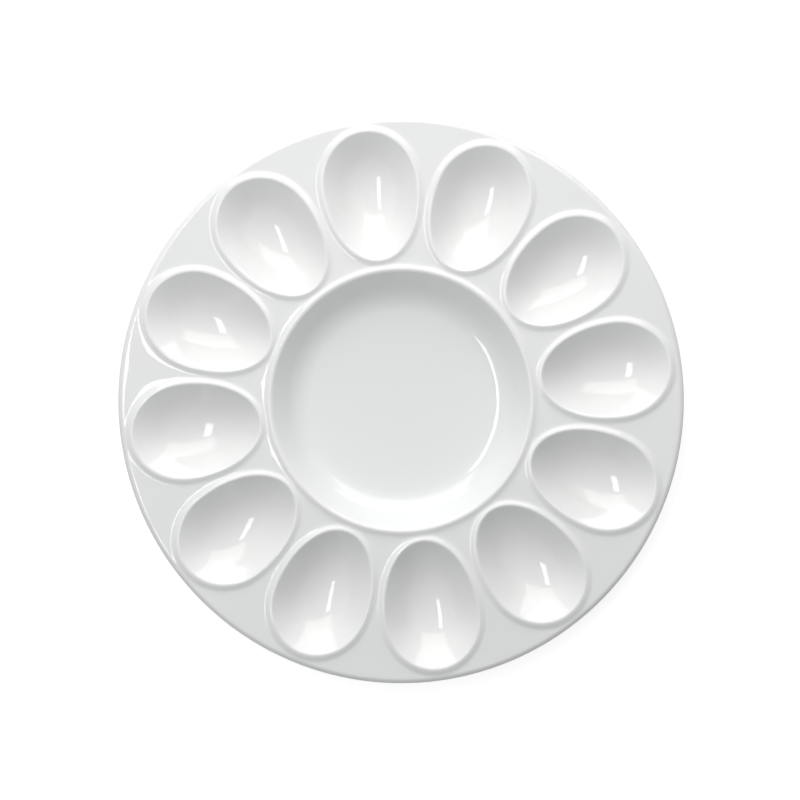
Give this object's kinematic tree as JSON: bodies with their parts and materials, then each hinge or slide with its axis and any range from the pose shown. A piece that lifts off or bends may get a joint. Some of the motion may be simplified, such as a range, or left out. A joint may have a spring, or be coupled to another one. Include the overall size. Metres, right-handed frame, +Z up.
{
  "type": "deviled egg platter",
  "caption": "Round glazed ceramic platter with egg-shaped wells, each with a raised rim, in a ring round a bowl for dip, on a bare foot ring.",
  "frame": {"origin": "middle of the foot ring's standing face, on the plate's axis", "axes": "+Z up along the plate's axis; +X through the middle of one egg well, whose blunt end points outward"},
  "size_m": [0.286, 0.286, 0.0253],
  "materials": {
    "white_glaze": "clear gloss glaze over a white body",
    "bare_foot": "matt, unglazed and ground flat"
  },
  "bodies": {
    "root": {"platter": "white_glaze", "foot_ring": "bare_foot"}
  },
  "joints": []
}
